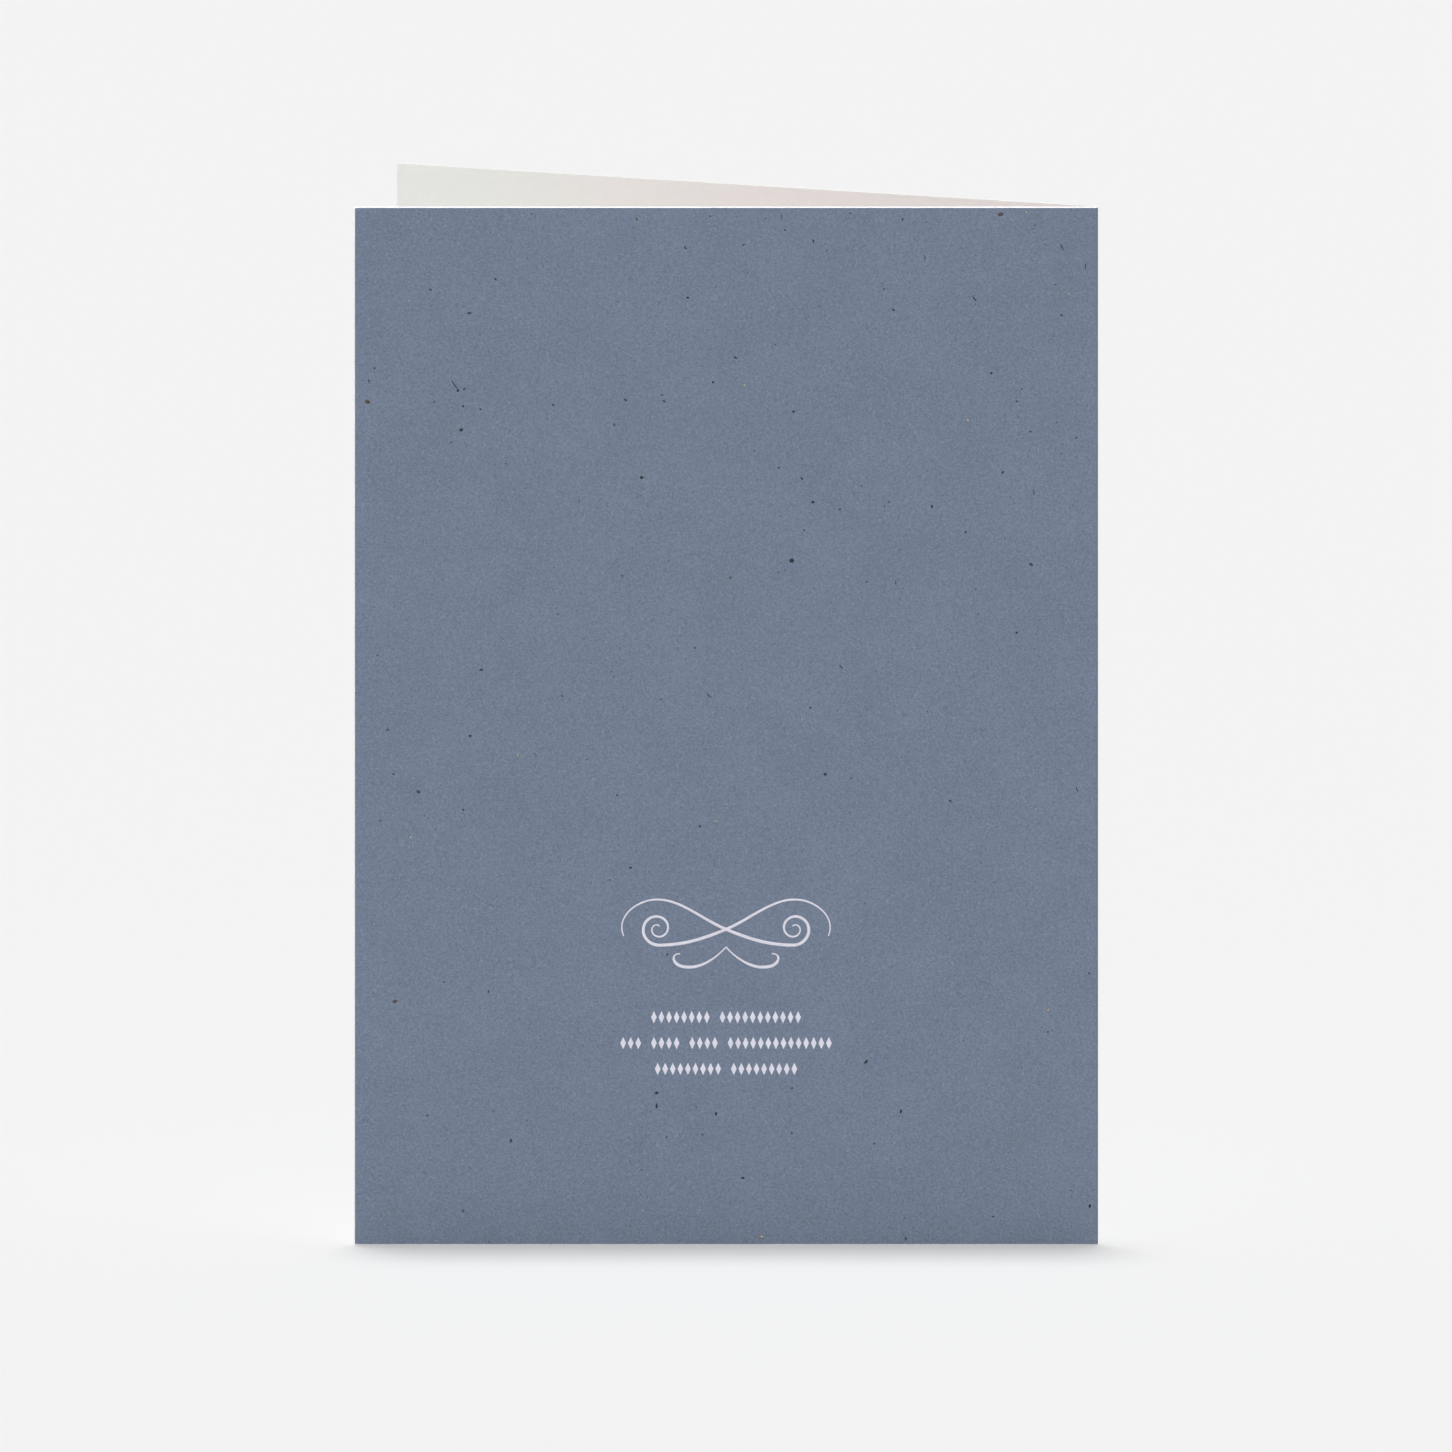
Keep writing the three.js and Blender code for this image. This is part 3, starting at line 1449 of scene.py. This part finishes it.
@dataclass
class LozengeRows(Maker):
    """Three centred rows of small lozenges in pale ink, below the flourish."""

    name: str = "lozenge_rows"
    first_row_up: float = 37.3 * MM
    row_pitch: float = 4.23 * MM
    mark_pitch: float = 1.22 * MM
    word_gap: float = 1.3 * MM
    mark_width: float = 1.0 * MM
    mark_height: float = 2.2 * MM
    relief: float = 0.02 * MM
    marks_in_words: tuple[tuple[int, ...], ...] = ((8, 11), (3, 4, 4, 14), (9, 9))

    # The face's and the foot's half width, of a lozenge that is one unit wide.
    face_radius: float = 0.42
    foot_radius: float = 0.5

    SMOOTH = False

    def values(self) -> dict[str, float | bpy.types.Material]:
        """The lozenges' sizes and their ink."""
        return {
            "Mark Width": self.mark_width,
            "Mark Height": self.mark_height,
            "Relief": self.relief,
            "Finish": PALE_INK.material(self.pulp),
        }

    def lay_out(self) -> bpy.types.Object:
        """Makes a point for the middle of each lozenge, row by row.

        Returns:
            The mesh that the tree starts from.
        """
        middle_x, _ = self.blank.on_address_leaf(self.blank.leaf_width / 2, 0.0)
        marks = []
        for row, words in enumerate(self.marks_in_words):
            y = self.first_row_up - row * self.row_pitch
            length = sum(words) * self.mark_pitch + (len(words) - 1) * self.word_gap
            x = middle_x - length / 2
            for count in words:
                middles = [x + (i + 0.5) * self.mark_pitch for i in range(count)]
                marks += [(middle, y, self.blank.thickness) for middle in middles]
                x += count * self.mark_pitch + self.word_gap
        return mesh_object(self.name, marks)

    def tree(self) -> bpy.types.NodeTree:
        """Builds the tree that sets a lozenge on each point, half of it below the paper's face."""
        takes = {"Places": "Geometry"} | dict.fromkeys(("Mark Width", "Mark Height", "Relief"), "Float")
        takes |= {"Finish": "Material"}
        tree = node_group("lozenge rows", "Geometry", takes, {"Print": "Geometry"})
        bench = Bench(tree)
        given = bench.node("NodeGroupInput").outputs
        sizes = {"Radius Top": self.face_radius, "Radius Bottom": self.foot_radius, "Depth": 1.0}
        lozenge = bench.node("GeometryNodeMeshCone", {"Vertices": 4} | sizes, fill_type="NGON")
        centres = {"Geometry": lozenge, "Translation": (0.0, 0.0, -0.5)}
        centred = bench.node("GeometryNodeTransform", centres)
        depth = bench.math("MULTIPLY", given["Relief"], 2.0)
        size = bench.vector(given["Mark Width"], given["Mark Height"], depth)
        printed = bench.copies(Points=given["Places"], Instance=centred, Scale=size)
        self.press.end_print(bench, printed, given["Finish"])
        return tree


@dataclass(frozen=True)
class Lamp:
    """A far, soft lamp: its strength, how many degrees across it looks, and its direction."""

    name: str
    strength: float
    softness: float
    comes_from: Place
    card_only: bool = False


@dataclass
class Studio:
    """A pale floor, soft light from all round and a camera that looks a little down."""

    low: Vector
    high: Vector
    pieces: list[bpy.types.Object]
    backdrop: Colour = linear(243, 243, 243)
    floor_reflects: float = 0.5
    floor_shows: float = 0.381
    floor_reach: float = 4.0
    low_sky: float = 5.4
    high_sky: float = 0.05
    low_sky_top: Point = (9.0, 16.0)
    front_share: float = 0.05
    front_to_back: Point = (-0.5, 0.5)
    top_light: Lamp = Lamp("top light", 2.85, 9.0, (-0.02, 0.052, 1.0))
    key_light: Lamp = Lamp("key light", 2.34, 15.0, (-0.02, -0.91, 0.41), card_only=True)
    camera_elevation: float = 10.0
    camera_distance: float = 1.0
    camera_reach: float = 20.0
    frame_width: float = 234.2 * MM

    def build(self) -> None:
        """Sets up the floor, the light and the camera."""
        self._floor()
        self._sky()
        for lamp in (self.top_light, self.key_light):
            self._hang(lamp)
        self._camera()

    def _floor(self) -> None:
        """Lays the floor that the card stands on.

        What is looked at is a little brighter than what the floor throws back on the card, so the
        ground is as pale as the photo's and the card's foot doesn't darken.
        """
        reach = self.floor_reach
        corners = [(-reach, -reach), (reach, -reach), (reach, reach), (-reach, reach)]
        points = [(x, y, self.low.z) for x, y in corners]
        floor = mesh_object("studio_floor", points, faces=[(0, 1, 2, 3)])
        paint = bpy.data.materials.new("studio floor")
        bench = Bench.clear(paint)
        grey = (self.floor_reflects, self.floor_reflects, self.floor_reflects, 1.0)
        matt = bench.node("ShaderNodeBsdfDiffuse", {"Color": grey})
        strength = bench.math("MULTIPLY", self._looked_at(bench), self.floor_shows)
        shown = bench.node("ShaderNodeEmission", {"Strength": strength})
        both = bench.node("ShaderNodeAddShader", {0: matt, 1: shown})
        bench.node("ShaderNodeOutputMaterial", {"Surface": both})
        floor.data.materials.append(paint)

    def _sky(self) -> None:
        """Lights the leaves from all round, from so low down that the floor gets little of it.

        The side toward the camera gets less of it, because the key light is there.
        """
        world = bpy.data.worlds.new("studio sky")
        bpy.context.scene.world = world
        bench = Bench.clear(world)
        _, back, up = bench.parts(bench.node("ShaderNodeTexCoord").outputs["Generated"])
        start, end = (math.sin(math.radians(angle)) for angle in self.low_sky_top)
        by_height = bench.spread(up, (start, end), (self.low_sky, self.high_sky))
        by_side = bench.spread(back, self.front_to_back, (self.front_share, 1.0))
        strength = bench.math("MULTIPLY", by_height, by_side)
        glow = bench.node("ShaderNodeBackground", {"Strength": strength})
        seen = bench.node("ShaderNodeBackground", {"Color": self.backdrop})
        either = bench.node("ShaderNodeMixShader", {0: self._looked_at(bench), 1: glow, 2: seen})
        bench.node("ShaderNodeOutputWorld", {"Surface": either})

    @staticmethod
    def _looked_at(bench: Bench) -> Socket:
        """Tells the rays that look at a surface, also by way of gloss, from those that light it."""
        ray = bench.node("ShaderNodeLightPath").outputs
        seen = bench.math("MAXIMUM", ray["Is Camera Ray"], ray["Is Glossy Ray"])
        return bench.math("MAXIMUM", seen, ray["Is Transmission Ray"])

    def _hang(self, lamp: Lamp) -> None:
        """Hangs one soft lamp so far off that it lights the card and the floor evenly.

        Args:
            lamp: The lamp's light and where it comes from. One for the card only leaves no
                long shadow of it on the floor.
        """
        light = bpy.data.lights.new(lamp.name, "SUN")
        light.energy = lamp.strength
        light.angle = math.radians(lamp.softness)
        hung = in_scene(lamp.name, light)
        hung.rotation_mode = "QUATERNION"
        hung.rotation_quaternion = Vector(lamp.comes_from).to_track_quat("Z", "Y")
        if lamp.card_only:
            lit = bpy.data.collections.new(f"lit by {lamp.name}")
            for piece in self.pieces:
                lit.objects.link(piece)
            hung.light_linking.receiver_collection = lit

    def _camera(self) -> None:
        """Looks straight at the address leaf from in front and a little above."""
        camera = bpy.data.cameras.new("camera")
        camera.type = "ORTHO"
        camera.ortho_scale = self.frame_width
        camera.clip_end = self.camera_reach
        middle = Vector(((self.low.x + self.high.x) / 2, self.low.y, (self.low.z + self.high.z) / 2))
        tilt = math.radians(self.camera_elevation)
        back = Vector((0.0, -math.cos(tilt), math.sin(tilt)))
        stand = in_scene("camera", camera)
        stand.location = middle + back * self.camera_distance
        stand.rotation_mode = "QUATERNION"
        stand.rotation_quaternion = (-back).to_track_quat("-Z", "Y")
        bpy.context.scene.camera = stand
        bpy.context.scene.view_settings.view_transform = "Standard"


def main() -> None:
    """Builds the card round its frame, and the studio round the card."""
    logging.basicConfig(level=logging.INFO, format="%(name)s %(message)s")
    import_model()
    low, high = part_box(CARD_NODE)
    blank = Blank.from_frame(low, high)
    LOG.info("opening between the leaves: %.2f degrees", math.degrees(blank.opening))

    kit = (blank, FoldPress(blank), PulpTexture())
    makers = [
        Sheet(*kit),
        *(FleckPrint(*kit, kind) for kind in FLECK_KINDS),
        StockHairs(*kit),
        Flourish(*kit),
        LozengeRows(*kit),
    ]
    Studio(low, high, [maker.build() for maker in makers]).build()


if __name__ == "__main__":
    main()
